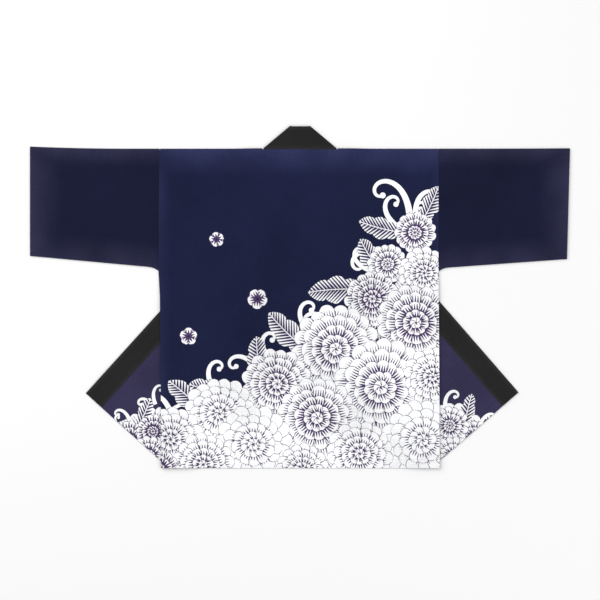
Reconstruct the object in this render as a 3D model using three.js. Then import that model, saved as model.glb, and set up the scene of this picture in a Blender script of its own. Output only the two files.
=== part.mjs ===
// A happi coat laid face down on a table: back up, sleeves flat, and each front
// folded outward underneath on a slant, so that its corner shows past the side seam.
// Millimetres. +X is the wearer's right, +Y runs up to the collar, +Z is up off the table.
// The origin is the middle of the coat's plan, on the table.
import * as THREE from "three";

// ---- driving dimensions ----
const LENGTH = 750; // shoulder fold to hem
const HALF_SPAN = 635; // centre back to cuff
const CLOTH = 1.0; // body and sleeve cloth
const BAND = 2.0; // collar band, a folded strip
const SEAM = 0.3; // clear gap along every seam
const SLACK = 0.6; // clear gap between layers that only lie on each other
const NECK = 85; // half width of the neck opening
const STAND_HEIGHT = 54; // collar band above the shoulder line
const STAND_TOP = 21; // half width of the stand along its top
const BAND_WIDTH = 50;
const FOLD_RADIUS = 1.3; // middle of the cloth round a turned-back fold
const LIFT = 2 * FOLD_RADIUS; // a front rides this high over its own turned-back corner
const NECK_EASE = 0.8; // more room for the band under the back near the neck
const WRAP = 12; // back cloth carried over the shoulder fold to the front seam
const WRAP_START = 89; // the carried part begins clear of the band
const MID_Y = 347.2; // shoulder line above the middle of the plan

// One row for each front, before and after it is folded, sizes in mm and tilts in degrees.
// sign: which way along X. length: shoulder to front hem. tilt: of the fold line off the
// straight grain. fold: fold line from centre back, at the shoulder. edge: free edge of the
// band from centre back, before folding. apex: depth where the fold meets that free edge.
const SIDES = [
  { name: "left", sign: -1, length: 750, tilt: 21.06, fold: 22.8, edge: 47, apex: 65 },
  { name: "right", sign: 1, length: 743.5, tilt: 20.5, fold: 40.9, edge: 55, apex: 42 },
];

// One row for each sleeve. cuff: its depth at the cuff. slope: drop of its seam per mm
// inward. lean: how much shorter it is at the seam. rise: lift of the top fold at the cuff.
const SLEEVES = {
  left: { cuff: 251, slope: 0.092, lean: 0, rise: 5 },
  right: { cuff: 258, slope: 0.071, lean: 7, rise: 1 },
};

// Half width of the body at a few depths below the shoulder fold.
const WIDTHS = [
  { depth: 0, left: 331, right: 326 },
  { depth: 284, left: 333, right: 326 },
  { depth: 345, left: 329.5, right: 326.5 },
  { depth: 560, left: 327.5, right: 328 },
  { depth: 750, left: 326.5, right: 329 },
];

const COLOURS = { navy: 0x1d203a, front: 0x24233f, sleeve: 0x20223c, band: 0x2a2a2b };

// ---- small helpers ----
const clamp = (v) => Math.min(1, Math.max(0, v));
const ease = (v) => 0.5 - 0.5 * Math.cos(Math.PI * clamp(v));
const mix = (a, b, f) => a + (b - a) * f;
const place = (side, out, up, z) => new THREE.Vector3(side.sign * out, up + MID_Y, z);

// Even steps from one value to another, the last value left out.
function steps(from, to, pitch) {
  const count = Math.max(1, Math.round(Math.abs(to - from) / pitch));
  return Array.from({ length: count }, (_, k) => mix(from, to, k / count));
}

function bodyHalf(side, depth) {
  const row = WIDTHS.findIndex((w) => w.depth >= depth);
  const hi = WIDTHS[Math.max(1, row < 0 ? WIDTHS.length - 1 : row)];
  const lo = WIDTHS[WIDTHS.indexOf(hi) - 1];
  return mix(lo[side.name], hi[side.name], clamp((depth - lo.depth) / (hi.depth - lo.depth)));
}

// The slanted fold of a front: s runs past it toward centre back, t runs along it.
function acrossFold(side, out, depth) {
  const a = THREE.MathUtils.degToRad(side.tilt);
  const dx = out - side.fold;
  return { s: -dx * Math.cos(a) + depth * Math.sin(a), t: dx * Math.sin(a) + depth * Math.cos(a) };
}

function fromFold(side, s, t) {
  const a = THREE.MathUtils.degToRad(side.tilt);
  return {
    out: side.fold - s * Math.cos(a) + t * Math.sin(a),
    depth: s * Math.sin(a) + t * Math.cos(a),
  };
}

// Depth where the line a distance s past the fold meets the upright line at out.
function foldDepth(side, out, s) {
  const a = THREE.MathUtils.degToRad(side.tilt);
  return (s + (out - side.fold) * Math.cos(a)) / Math.sin(a);
}

// The seam of the band: out from the neck to the front edge, then straight down.
function bandSeam(side, depth) {
  const seam = side.edge + BAND_WIDTH;
  return mix(NECK, seam, clamp(depth / foldDepth(side, seam, 0)));
}

// ---- how high each layer lies ----
// Underside of a front, before folding: level over the turned-back corner, and down to
// the table past that corner's free edge and up at the neck.
function frontLift(side, out, depth) {
  const a = THREE.MathUtils.degToRad(2 * side.tilt);
  const past = (out - side.edge) * Math.cos(a) - (depth - side.apex) * Math.sin(a);
  return LIFT * (1 - ease(past / 62)) * ease(depth / (side.apex - 3));
}

// Underside of the back on one side: over the front, over the band near the neck, and
// down to the table between the two slanted folds.
function sideLift(side, out, depth) {
  const { s } = acrossFold(side, out, depth);
  const centre = 1 - ease((s - 22) / 72);
  const seam = side.edge + BAND_WIDTH;
  const overBand = (1 - ease((out - seam - 6) / 62)) * (1 - ease((depth - 205) / 72));
  const sewn = (SLACK - SEAM) * ease((out - bodyHalf(side, depth) + 26) / 26);
  const over = frontLift(side, out, depth) + CLOTH + SLACK - sewn / 2;
  return centre * (over + (BAND - CLOTH + NECK_EASE) * overBand);
}

const backLift = (x, depth) => Math.max(...SIDES.map((side) => sideLift(side, side.sign * x, depth)));

// ---- cloth ----
// Keeps the part of an outline on one side of a line across the cloth.
function cut(outline, axis, at, keep) {
  const kept = [];
  outline.forEach((p, k) => {
    const q = outline[(k + 1) % outline.length];
    const inP = (p[axis] - at) * keep >= 0;
    const inQ = (q[axis] - at) * keep >= 0;
    if (inP) kept.push(p);
    if (inP === inQ) return;
    const f = (at - p[axis]) / (q[axis] - p[axis]);
    kept.push(axis === 0 ? [at, mix(p[1], q[1], f)] : [mix(p[0], q[0], f), at]);
  });
  return kept;
}

function area(outline) {
  const doubled = outline.reduce((sum, p, k) => {
    const q = outline[(k + 1) % outline.length];
    return sum + p[0] * q[1] - q[0] * p[1];
  }, 0);
  return Math.abs(doubled) / 2;
}

// The cells of a cut piece, between two families of lines.
function cellsOf(outline, us, vs) {
  const cells = [];
  us.slice(1).forEach((u, i) => {
    const strip = cut(cut(outline, 0, us[i], 1), 0, u, -1);
    vs.slice(1).forEach((v, j) => {
      const cell = cut(cut(strip, 1, vs[j], 1), 1, v, -1);
      if (cell.length > 2 && area(cell) > 1e-6) cells.push(cell);
    });
  });
  return cells;
}

const lattice = (us, vs) => {
  const box = [[0, 0], [us, 0], [us, vs], [0, vs]];
  const count = (n) => Array.from({ length: n + 1 }, (_, k) => k);
  return cellsOf(box, count(us), count(vs));
};

// One closed wall of cloth over its cells; lay(u, v) is a point of its middle surface.
function cloth(cells, thick, lay) {
  const points = new Map();
  const loops = cells.map((cell) => {
    const loop = [];
    cell.forEach(([u, v]) => {
      const key = `${u.toFixed(4)} ${v.toFixed(4)}`;
      if (!points.has(key)) points.set(key, { p: lay(u, v), n: new THREE.Vector3() });
      if (!loop.includes(points.get(key))) loop.push(points.get(key));
    });
    return loop;
  }).filter((loop) => loop.length > 2);
  loops.forEach((loop) => {
    const n = new THREE.Vector3();
    loop.forEach((c, k) => n.add(c.p.clone().cross(loop[(k + 1) % loop.length].p)));
    loop.forEach((c) => c.n.add(n));
  });
  const xyz = [];
  const push = (c, way) => {
    const q = c.p.clone().addScaledVector(c.n.clone().normalize(), (way * thick) / 2);
    xyz.push(q.x, q.y, q.z);
    return xyz.length / 3 - 1;
  };
  points.forEach((c) => Object.assign(c, { top: push(c, 1), low: push(c, -1) }));
  const faces = [];
  const edges = new Map();
  loops.forEach((loop) => {
    loop.slice(2).forEach((c, k) => {
      const [a, b] = [loop[0], loop[k + 1]];
      faces.push([a.top, b.top, c.top], [a.low, c.low, b.low]);
    });
    loop.forEach((a, k) => {
      const b = loop[(k + 1) % loop.length];
      if (!edges.delete(`${b.top} ${a.top}`)) edges.set(`${a.top} ${b.top}`, [a, b]);
    });
  });
  edges.forEach(([a, b]) => faces.push([a.top, a.low, b.low], [a.top, b.low, b.top]));
  const corner = (k) => new THREE.Vector3().fromArray(xyz, 3 * k);
  const volume = faces.reduce((sum, [a, b, c]) => sum + corner(a).dot(corner(b).cross(corner(c))), 0);
  const geometry = new THREE.BufferGeometry();
  geometry.setAttribute("position", new THREE.Float32BufferAttribute(xyz, 3));
  geometry.setIndex(faces.flatMap((f) => (volume > 0 ? f : [f[0], f[2], f[1]])));
  return geometry;
}

const TURN = [1, 0.8, 0.6, 0.4, 0.2]; // share of the half turn round a fold

// ---- back: carried over the shoulder fold, then down to the hem ----
// Across it: distance from centre back. Down it: depth, and above the fold -1 for the end of
// the half turn and -2 for the edge of the carried part.
function buildBack() {
  const sides = (depth, at) => SIDES.map((side) => [side.sign * bodyHalf(side, depth), at]);
  const rows = WIDTHS.map((w) => sides(w.depth, w.depth));
  const outline = [
    [-WRAP_START, -2],
    [-WRAP_START, 0],
    [WRAP_START, 0],
    [WRAP_START, -2],
    sides(0, -2)[1],
    ...rows.map((r) => r[1]),
    ...rows.map((r) => r[0]).reverse(),
    sides(0, -2)[0],
  ];
  const half = [22, 44, 66, WRAP_START, 114, 140, 168, 196, 224, 252, 280, 308, 340];
  const across = [...half.map((x) => -x).reverse(), 0, ...half];
  const down = [
    -2,
    ...TURN.map((f) => -f),
    ...steps(0, 78, 13),
    ...steps(78, 200, 24),
    ...steps(200, LENGTH, 32),
    LENGTH,
  ];
  return cloth(cellsOf(outline, across, down), CLOTH, (x, v) => {
    const r = backLift(x, Math.max(v, 0)) / 2;
    const turn = Math.PI * clamp(-v);
    const down2 = v > 0 ? v : WRAP * Math.max(0, -v - 1);
    return new THREE.Vector3(x, MID_Y - down2 + r * Math.sin(turn), CLOTH / 2 + r + r * Math.cos(turn));
  });
}

// ---- fronts: cut flat, then the inner corner turned back underneath ----
// Turns a flat-lying point under the slanted fold; level is the height of its middle surface
// once it lies on the table.
function turned(side, out, depth, level) {
  const { s, t } = acrossFold(side, out, depth);
  const half = Math.PI * FOLD_RADIUS;
  if (s <= 0) return place(side, out, -depth, frontLift(side, out, depth) + level);
  const a = Math.min(s, half) / FOLD_RADIUS;
  const q = fromFold(side, FOLD_RADIUS * Math.sin(a) - Math.max(0, s - half), t);
  return place(side, q.out, -q.depth, level + FOLD_RADIUS * (1 + Math.cos(a)));
}

const ARC = TURN.map((f) => (1 - f) * Math.PI * FOLD_RADIUS);

function buildFront(side) {
  const seam = side.edge + BAND_WIDTH + SEAM;
  const fold = foldDepth(side, seam, 0);
  const top = WRAP + SEAM;
  const flat = [
    [bandSeam(side, top) + SEAM, top],
    [bodyHalf(side, top), top],
    ...WIDTHS.slice(1, -1).map((w) => [bodyHalf(side, w.depth), w.depth]),
    [bodyHalf(side, side.length), side.length],
    [seam, side.length],
    [seam, fold + 26],
    [seam + 3, fold + 8],
    [seam + 3, fold - 6],
    [bandSeam(side, fold - 26) + SEAM, fold - 26],
  ];
  const outline = flat.map(([out, depth]) => {
    const { s, t } = acrossFold(side, out, depth);
    return [s, t];
  });
  const least = Math.min(...outline.map((p) => p[0]));
  const most = Math.max(...outline.map((p) => p[0]));
  const far = Math.max(...outline.map((p) => p[1]));
  const near = Math.min(...outline.map((p) => p[1]));
  const ss = [...steps(least, 0, 30), ...ARC, ...steps(Math.PI * FOLD_RADIUS, most, 32), most];
  const ts = [...steps(near, far, 30), far];
  return cloth(cellsOf(outline, ss, ts), CLOTH, (s, t) => {
    const { out, depth } = fromFold(side, s, t);
    return turned(side, out, depth, CLOTH / 2);
  });
}

// ---- sleeves: one width folded along the top, its two edges meeting in the seam below ----
function sleeveDepth(side, out) {
  const row = SLEEVES[side.name];
  const gusset = 7 * clamp((22 - (out - bodyHalf(side, 284))) / 22) ** 2;
  return row.cuff + row.slope * (HALF_SPAN - out) + gusset;
}

function buildSleeve(side) {
  const row = SLEEVES[side.name];
  const across = [0, 8, 16, 26, 62, 100, 140, 180, 220, 262, 302].map((x) => x / 302);
  const down = [0, 0.12, 0.25, 0.4, 0.55, 0.7, 0.85, 1];
  const upper = CLOTH * 1.5 + SLACK;
  const r = (upper - CLOTH / 2) / 2;
  const ring = [
    ...down.slice(1).reverse().map((f) => ({ f, y: 0, z: CLOTH / 2 })),
    ...TURN.map((f) => ({
      f: 0,
      y: r * Math.sin(f * Math.PI),
      z: CLOTH / 2 + r + r * Math.cos(f * Math.PI),
    })),
    ...down.map((f) => ({ f, y: 0, z: upper - (SLACK - SEAM) * ease((f - 0.9) / 0.1) })),
  ];
  return cloth(lattice(across.length - 1, ring.length - 1), CLOTH, (i, j) => {
    const g = ring[j];
    const armhole = bodyHalf(side, 284 * g.f) + SEAM;
    const cuff = HALF_SPAN - row.lean * g.f;
    const out = mix(armhole, cuff, across[i]);
    const top = row.rise * clamp((out - 400) / 235) ** 2;
    return place(side, out, top * (1 - g.f) - sleeveDepth(side, out) * g.f + g.y, g.z);
  });
}

// ---- collar band: one strip from hem to hem, mitred at both ends of the neck ----
// Each station is a line across the strip, from its sewn edge (w = 0) to its free edge (w = 1).
function bandLeg(side) {
  const seam = side.edge + BAND_WIDTH;
  const station = (sewn, free) => ({ sewn, free });
  const start = station(0, -STAND_HEIGHT);
  const foldStart = station(foldDepth(side, seam, 0), foldDepth(side, side.edge, 0));
  const half = Math.PI * FOLD_RADIUS;
  const foldEnd = station(foldDepth(side, seam, half), foldDepth(side, side.edge, half));
  const end = station(side.length, side.length);
  const between = (a, b, f) => station(mix(a.sewn, b.sewn, f), mix(a.free, b.free, f));
  const stations = [
    ...steps(0, 1, 1 / 11).map((f) => between(start, foldStart, f)),
    ...ARC.map((s) => between(foldStart, foldEnd, s / half)),
    ...[...steps(0, 1, 1 / 13), 1].map((f) => between(foldEnd, end, f)),
  ];
  return stations.map(({ sewn, free }) => (w) => {
    const inner = mix(STAND_TOP, side.edge, clamp((free + STAND_HEIGHT) / (side.apex + STAND_HEIGHT - 4)));
    return turned(side, mix(bandSeam(side, sewn), inner, w), mix(sewn, free, w), BAND / 2);
  });
}

function buildBand() {
  const [left, right] = SIDES;
  const slant = Math.atan2(STAND_HEIGHT, NECK - STAND_TOP);
  const base = (w) => mix(SEAM, STAND_HEIGHT, w);
  const mitre = (side) => TURN.map((f) => (w) => {
    const reach = FOLD_RADIUS * Math.sin(f * Math.PI);
    const out = mix(NECK, STAND_TOP, w) + reach * Math.sin(slant);
    const z = BAND / 2 + FOLD_RADIUS * (1 + Math.cos(f * Math.PI));
    return place(side, out, base(w) + reach * Math.cos(slant), z);
  });
  const stand = [-1, -0.5, 0, 0.5, 1].map((f) => (w) =>
    place(right, f * mix(NECK, STAND_TOP, w), base(w), BAND / 2 + LIFT),
  );
  const all = [
    ...bandLeg(left).slice(1).reverse(),
    ...mitre(left),
    ...stand,
    ...mitre(right).reverse(),
    ...bandLeg(right).slice(1),
  ];
  const wide = 3;
  return cloth(lattice(all.length - 1, wide), BAND, (i, j) => all[i](j / wide));
}

// ---- the coat ----
const coat = new THREE.Group();
coat.name = "happi_coat";

function add(name, geometry, colour, roughness) {
  geometry.computeVertexNormals();
  const material = new THREE.MeshStandardMaterial({ color: colour, roughness, metalness: 0 });
  const mesh = new THREE.Mesh(geometry, material);
  mesh.name = name;
  coat.add(mesh);
}

add("back", buildBack(), COLOURS.navy, 0.85);
SIDES.forEach((side) => add(`front_${side.name}`, buildFront(side), COLOURS.front, 0.85));
SIDES.forEach((side) => add(`sleeve_${side.name}`, buildSleeve(side), COLOURS.sleeve, 0.85));
add("collar_band", buildBand(), COLOURS.band, 0.8);

export default coat;
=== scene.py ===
import math
import random

import bpy
import numpy as np
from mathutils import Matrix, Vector, geometry, noise


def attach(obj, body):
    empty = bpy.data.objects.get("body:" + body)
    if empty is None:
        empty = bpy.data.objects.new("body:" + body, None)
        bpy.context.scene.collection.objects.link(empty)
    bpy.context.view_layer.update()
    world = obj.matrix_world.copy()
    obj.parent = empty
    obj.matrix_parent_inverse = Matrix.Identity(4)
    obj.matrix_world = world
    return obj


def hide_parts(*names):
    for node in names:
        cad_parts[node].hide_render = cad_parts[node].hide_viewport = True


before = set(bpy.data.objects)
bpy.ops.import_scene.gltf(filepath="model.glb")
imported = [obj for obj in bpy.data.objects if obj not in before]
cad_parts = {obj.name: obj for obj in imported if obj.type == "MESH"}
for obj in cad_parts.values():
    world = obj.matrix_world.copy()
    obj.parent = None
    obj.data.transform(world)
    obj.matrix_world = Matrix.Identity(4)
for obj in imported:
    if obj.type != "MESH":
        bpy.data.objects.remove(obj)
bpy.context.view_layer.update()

# ---- Table, light and camera ----
# A plain white table under two broad soft lamps and an even white room. The camera looks
# straight down from six metres on a long lens. Lamps and camera are placed in metres.
MM = 0.001
TABLE_DROP = 0.0004
ROOM_LIGHT = 0.66
CAMERA_HEIGHT = 6.0
VIEW_WIDTH = 1.4109
SENSOR_WIDTH = 36


def linear(hex_colour):
    """sRGB hex to a linear RGBA colour."""
    parts = [int(hex_colour[k : k + 2], 16) / 255 for k in (1, 3, 5)]
    return [c / 12.92 if c <= 0.04045 else ((c + 0.055) / 1.055) ** 2.4 for c in parts] + [1.0]


def add_node(tree, kind, settings=None, inputs=None):
    """Adds one node; inputs are plain values or output sockets to link."""
    made = tree.nodes.new(kind)
    for key, value in (settings or {}).items():
        setattr(made, key, value)
    for key, value in (inputs or {}).items():
        if isinstance(value, bpy.types.NodeSocket):
            tree.links.new(value, made.inputs[key])
        else:
            made.inputs[key].default_value = value
    return made


# Matt white laminate, smooth and even: only a soft shadow shows on it.
table_finish = bpy.data.materials.new("white_laminate")
table_finish.use_nodes = True
laminate = table_finish.node_tree.nodes["Principled BSDF"]
laminate.inputs["Base Color"].default_value = linear("#f7f7f7")
laminate.inputs["Roughness"].default_value = 0.9
laminate.inputs["Specular IOR Level"].default_value = 0.2

bpy.ops.mesh.primitive_plane_add(size=9, location=(0, 0, -TABLE_DROP))
table = bpy.context.object
table.name = "table"
table.data.materials.append(table_finish)

bpy.context.scene.view_settings.view_transform = "Standard"
world = bpy.context.scene.world or bpy.data.worlds.new("room")
bpy.context.scene.world = world
world.use_nodes = True
world.node_tree.nodes["Background"].inputs["Color"].default_value = (1, 1, 1, 1)
world.node_tree.nodes["Background"].inputs["Strength"].default_value = ROOM_LIGHT

LAMPS = {
    "window_lamp": dict(at=(-2.2, 1.9, 2.1), size=2.6, watts=66),
    "fill_lamp": dict(at=(2.4, -1.2, 2.6), size=3.2, watts=36),
}
for lamp_name, row in LAMPS.items():
    lamp_data = bpy.data.lights.new(lamp_name, "AREA")
    lamp_data.energy = row["watts"]
    lamp_data.size = row["size"]
    lamp = bpy.data.objects.new(lamp_name, lamp_data)
    lamp.location = row["at"]
    lamp.rotation_euler = (-Vector(row["at"])).to_track_quat("-Z", "Y").to_euler()
    bpy.context.collection.objects.link(lamp)

camera_data = bpy.data.cameras.new("camera")
camera_data.sensor_width = SENSOR_WIDTH
camera_data.lens = SENSOR_WIDTH * CAMERA_HEIGHT / VIEW_WIDTH
camera_data.clip_end = 50
camera = bpy.data.objects.new("camera", camera_data)
camera.location = (0, -0.0074, CAMERA_HEIGHT + 0.003)
bpy.context.collection.objects.link(camera)
bpy.context.scene.camera = camera

# ---- Back ----
# One width of cotton, carried 12 mm over the shoulder fold to meet the fronts. It lies on
# the folded fronts, sinks to the table between their slanted folds, and carries the print.
LENGTH = 750
CLOTH = 1.0  # thickness of the body and sleeve cloth
BAND = 2.0  # thickness of the folded band
SEAM = 0.3  # left between pieces at a seam
JOIN = 0.05  # width of the gap between two pieces sewn edge to edge
SLACK = 0.6  # height left between loose layers
NECK = 85  # half the width of the neck, between the mitres of the band
BAND_WIDTH = 50
FOLD_RADIUS = 1.3  # of the middle of the cloth, round the shoulder and the slanted folds
LIFT = 2 * FOLD_RADIUS
ARC = math.pi * FOLD_RADIUS
NECK_EASE = 0.8
WRAP = 12  # carried over the shoulder, outside WRAP_START from the middle
WRAP_START = 89
MID_Y = 347.2  # the shoulder line, in the frame's y
HEM = 20

# One row for each side: the front's length, its fold's slant in degrees and where it starts,
# the band's outer edge, and the depth from which that edge runs straight.
SIDES = {
    "left": dict(sign=-1, length=750, tilt=21.06, fold=22.8, edge=47, apex=65),
    "right": dict(sign=1, length=743.5, tilt=20.5, fold=40.9, edge=55, apex=42),
}
# Half the width of the body, at each side seam.
WIDTHS = [
    dict(depth=0, left=331, right=326),
    dict(depth=284, left=333, right=326),
    dict(depth=345, left=329.5, right=326.5),
    dict(depth=560, left=327.5, right=328),
    dict(depth=750, left=326.5, right=329),
]


def clamp(v):
    return np.clip(v, 0.0, 1.0)


def ease(v):
    return 0.5 - 0.5 * np.cos(math.pi * clamp(v))


def mix(a, b, f):
    return a + (b - a) * f


def body_half(side, depth):
    return np.interp(depth, [row["depth"] for row in WIDTHS], [row[side] for row in WIDTHS])


def across_fold(side, out, depth):
    """The slanted fold of a front: s runs past it toward centre back, t runs along it."""
    a = math.radians(SIDES[side]["tilt"])
    dx = out - SIDES[side]["fold"]
    return depth * math.sin(a) - dx * math.cos(a), dx * math.sin(a) + depth * math.cos(a)


def front_lift(side, out, depth):
    """Height of a front's underside before folding: level over its turned-back corner."""
    row = SIDES[side]
    a = math.radians(2 * row["tilt"])
    past = (out - row["edge"]) * math.cos(a) - (depth - row["apex"]) * math.sin(a)
    return LIFT * (1 - ease(past / 62)) * ease(depth / (row["apex"] - 3))


def back_lift(x, depth):
    """Height of the back's underside over the fronts, the band and the table."""
    lifts = []
    for side, row in SIDES.items():
        out = row["sign"] * x
        s, _ = across_fold(side, out, depth)
        seam = row["edge"] + BAND_WIDTH
        over_band = (1 - ease((out - seam - 6) / 62)) * (1 - ease((depth - 205) / 72))
        sewn = (SLACK - SEAM) * ease((out - body_half(side, depth) + 26) / 26)
        over = front_lift(side, out, depth) + CLOTH + SLACK - sewn / 2
        lifts.append((1 - ease((s - 22) / 72)) * (over + (BAND - CLOTH + NECK_EASE) * over_band))
    low, high = lifts
    return (low + high + np.sqrt((low - high) ** 2 + 0.04) - 0.2) / 2


# Soft creases left by folding and handling, as raised ridges from one end to the other:
# x from centre back and d down from the shoulder.
BACK_CREASES = [
    dict(x0=-300, d0=262, x1=-120, d1=196, wide=17, high=1.5),
    dict(x0=-318, d0=318, x1=-214, d1=292, wide=12, high=1.1),
    dict(x0=300, d0=250, x1=168, d1=168, wide=19, high=1.4),
    dict(x0=316, d0=300, x1=236, d1=262, wide=11, high=1.0),
    dict(x0=-20, d0=40, x1=14, d1=236, wide=15, high=0.9),
    dict(x0=-236, d0=404, x1=-70, d1=446, wide=22, high=1.0),
    dict(x0=96, d0=392, x1=262, d1=372, wide=18, high=0.9),
    dict(x0=-150, d0=640, x1=-96, d1=738, wide=16, high=1.0),
    dict(x0=190, d0=620, x1=212, d1=744, wide=20, high=1.2),
    dict(x0=40, d0=560, x1=22, d1=690, wide=14, high=0.7),
    dict(x0=-252, d0=70, x1=-160, d1=128, wide=20, high=0.9),
    dict(x0=232, d0=40, x1=190, d1=120, wide=16, high=0.8),
]


def uneven(x, d, size, seed):
    """Smooth random values from about -1 to 1, with hollows and rises of a given size."""
    return np.array([noise.noise((a, b, seed)) for a, b in zip(x / size, d / size)])


def creased(rows, x, d, seed):
    """Height added by a table of creases and by the cloth's own gentle unevenness."""
    high = 0.5 + 0.6 * uneven(x, d, 95, seed) + 0.2 * uneven(x, d, 34, seed + 7)
    wander = 9 * uneven(x, d, 70, seed + 3)
    for row in rows:
        dx, dd = row["x1"] - row["x0"], row["d1"] - row["d0"]
        run = math.hypot(dx, dd)
        f = clamp(((x - row["x0"]) * dx + (d - row["d0"]) * dd) / run**2)
        off = ((x - row["x0"]) * dd - (d - row["d0"]) * dx) / run + wander
        high += row["high"] * np.exp(-((off / row["wide"]) ** 2)) * np.sin(math.pi * f) ** 0.8
    return np.maximum(0, high)


def lay_back(p):
    """From the cut piece to where it lies. Above the shoulder fold is the carried edge."""
    x, depth = p[:, 0], np.maximum(0, -p[:, 1])
    r = back_lift(x, depth) / 2
    turn = math.pi * clamp(p[:, 1] / ARC)
    y = -depth - np.maximum(0, p[:, 1] - ARC) + r * np.sin(turn)
    edge = np.minimum(np.minimum(depth, LENGTH - depth) / 30, (335 - np.abs(x)) / 30)
    rise = clamp(edge) * creased(BACK_CREASES, x, depth, 3)
    hem = 0.35 * ease((depth - LENGTH + HEM + 3) / 3)
    return np.stack((x, MID_Y + y, CLOTH / 2 + r + r * np.cos(turn) + rise + hem), axis=1)


def dense(line, pitch, closed=True):
    """Puts points along a line no further apart than pitch."""
    out = []
    ends = line[1:] + line[:1] if closed else line[1:]
    for p, q in zip(line, ends):
        count = max(1, math.ceil(math.dist(p, q) / pitch))
        out += [(mix(p[0], q[0], k / count), mix(p[1], q[1], k / count)) for k in range(count)]
    return out if closed else out + [line[-1]]


def inside(loop, points):
    """Which points an outline goes round."""
    x, y = points[:, 0], points[:, 1]
    turns = np.zeros(len(points), int)
    for (x0, y0), (x1, y1) in zip(loop, loop[1:] + loop[:1]):
        side = (x1 - x0) * (y - y0) - (x - x0) * (y1 - y0)
        turns += (y0 <= y) & (y < y1) & (side > 0)
        turns -= (y1 <= y) & (y < y0) & (side < 0)
    return turns != 0


def within(loop, points):
    """The same, for a small outline among many points: tests only those in its box."""
    xs, ys = [p[0] for p in loop], [p[1] for p in loop]
    x, y = points[:, 0], points[:, 1]
    some = np.flatnonzero((x > min(xs)) & (x < max(xs)) & (y > min(ys)) & (y < max(ys)))
    found = np.zeros(len(points), bool)
    found[some] = inside(loop, points[some])
    return found


def filling(outline, folds, pitch):
    """A plain lattice of points inside an outline, clear of its edge and folds."""
    xs, ys = [p[0] for p in outline], [p[1] for p in outline]
    grid = [
        (min(xs) + (i + 0.3 * (j % 2)) * pitch, min(ys) + j * pitch)
        for i in range(1, math.ceil((max(xs) - min(xs)) / pitch))
        for j in range(1, math.ceil((max(ys) - min(ys)) / pitch))
    ]
    grid = np.array(grid)
    clear = inside(outline, grid)
    lines = list(zip(outline, outline[1:] + outline[:1]))
    lines += [pair for fold in folds for pair in zip(fold, fold[1:])]
    for p, q in lines:
        run = np.subtract(q, p)
        f = clamp((grid - p) @ run / (run @ run))
        clear &= np.linalg.norm(grid - p - f[:, None] * run, axis=1) > 0.45 * pitch
    return grid[clear].tolist()


def tiled(outline, folds, filler, shapes):
    """Cuts a flat piece into triangles along its folds and the outlines of its print.
    Gives the points, the triangles, and for each the topmost shape that it is in."""
    points, after, first = [], [], []
    for loop in [shape["loop"] for shape in shapes]:
        first.append(len(points))
        after += [len(points) + (k + 1) % len(loop) for k in range(len(loop))]
        points += loop
    edges = []
    if points:
        spots, after = np.array(points), np.array(after)
        covered = ~inside(outline, spots)
        covered &= covered[after]
        for shape, start in zip(shapes, first):
            if start:
                under = within(shape["loop"], spots[:start])
                covered[:start] |= under & under[after[:start]]
        edges = [(k, int(after[k])) for k in np.flatnonzero(~covered)]
        used = sorted({k for edge in edges for k in edge})
        place = {k: n for n, k in enumerate(used)}
        points = [points[k] for k in used]
        edges = [(place[a], place[b]) for a, b in edges]
    for line, closed in [(outline, 1)] + [(fold, 0) for fold in folds]:
        n = len(points)
        edges += [(n + k, n + (k + 1) % len(line)) for k in range(len(line) - 1 + closed)]
        points += line
    found = geometry.delaunay_2d_cdt([Vector(p) for p in points + filler], edges, [], 0, 1e-3, False)
    points, triangles = np.array([tuple(p) for p in found[0]]), np.array(found[2])
    middles = points[triangles].mean(axis=1)
    kept = inside(outline, middles)
    triangles, middles = triangles[kept], middles[kept]
    used, renumbered = np.unique(triangles, return_inverse=True)
    points, triangles = points[used], renumbered.reshape(-1, 3)
    owner = np.zeros(len(triangles), int)
    for k, shape in enumerate(shapes):
        owner[within(shape["loop"], middles)] = k + 1
    return points, triangles, owner


def faced(lay, points, offset):
    """Points on one face of the cloth: offset from its middle along its own normal."""
    e = 0.1
    across = lay(points + (e, 0)) - lay(points - (e, 0))
    down = lay(points + (0, e)) - lay(points - (0, e))
    normal = np.cross(across, down)
    return lay(points) + offset * normal / np.linalg.norm(normal, axis=1)[:, None]


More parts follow.
